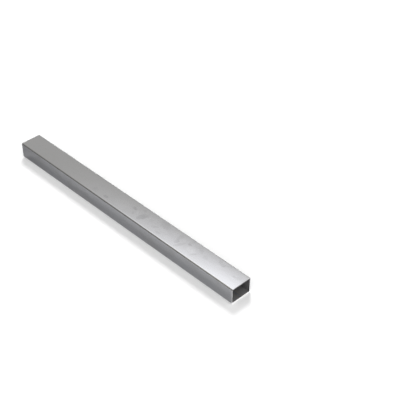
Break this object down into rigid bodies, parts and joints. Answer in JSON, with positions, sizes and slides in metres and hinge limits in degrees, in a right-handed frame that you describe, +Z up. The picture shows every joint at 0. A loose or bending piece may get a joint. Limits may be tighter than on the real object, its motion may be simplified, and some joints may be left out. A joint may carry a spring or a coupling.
{
  "type": "rectangular metal profile tube",
  "caption": "Straight length of thin-walled rectangular steel tube with rounded bends, square saw cuts and an inside weld seam.",
  "frame": {"origin": "middle of the underside, on the floor, half way between the two saw cuts", "axes": "+X along the tube, +Y across the wide walls, +Z up from the underside, with the weld seam inside the bottom wall"},
  "size_m": [0.53, 0.04, 0.03],
  "materials": {
    "mill_steel": "cold-rolled mill finish, satin, with faint cloudy patches and bright sawn ends"
  },
  "bodies": {
    "root": {"profile_tube": "mill_steel"}
  },
  "joints": []
}
